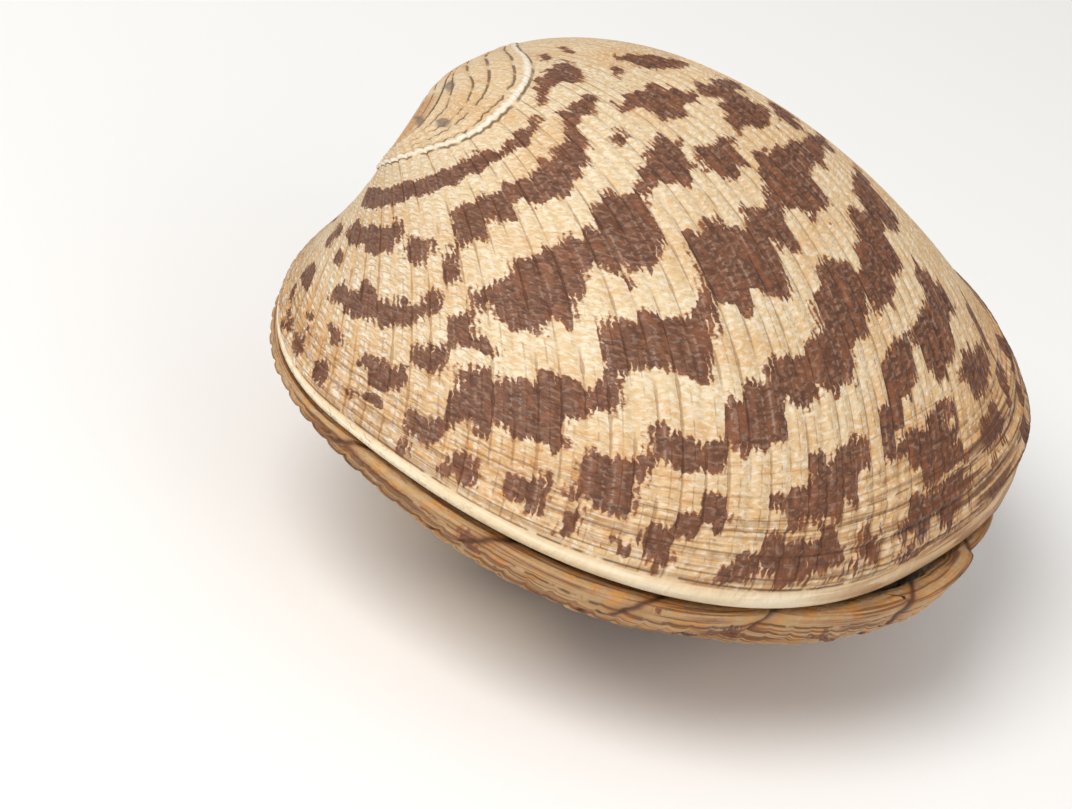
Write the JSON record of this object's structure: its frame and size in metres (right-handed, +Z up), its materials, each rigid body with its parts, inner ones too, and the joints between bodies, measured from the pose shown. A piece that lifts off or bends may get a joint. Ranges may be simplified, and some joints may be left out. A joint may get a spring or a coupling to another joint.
{
  "type": "venus shell",
  "caption": "Closed bivalve seashell with two domed ribbed valves, crowded growth ledges at the margin and an outer hinge ligament.",
  "frame": {"origin": "centre of the bounding box, at its base, where the right valve lies on the floor", "axes": "+Z up, +X along the hinge towards the end that the ligament lies on, +Y from the belly margin towards the hinge and beaks"},
  "size_m": [0.0596, 0.0496, 0.03],
  "materials": {
    "left_shell": "semi-gloss chalky shell with brown blotches",
    "right_shell": "semi-gloss chalky shell, tan brown",
    "ligament_brown": "dull dark brown horn"
  },
  "bodies": {
    "root": {"valve_left": "left_shell", "valve_right": "right_shell", "ligament": "ligament_brown"}
  },
  "joints": []
}
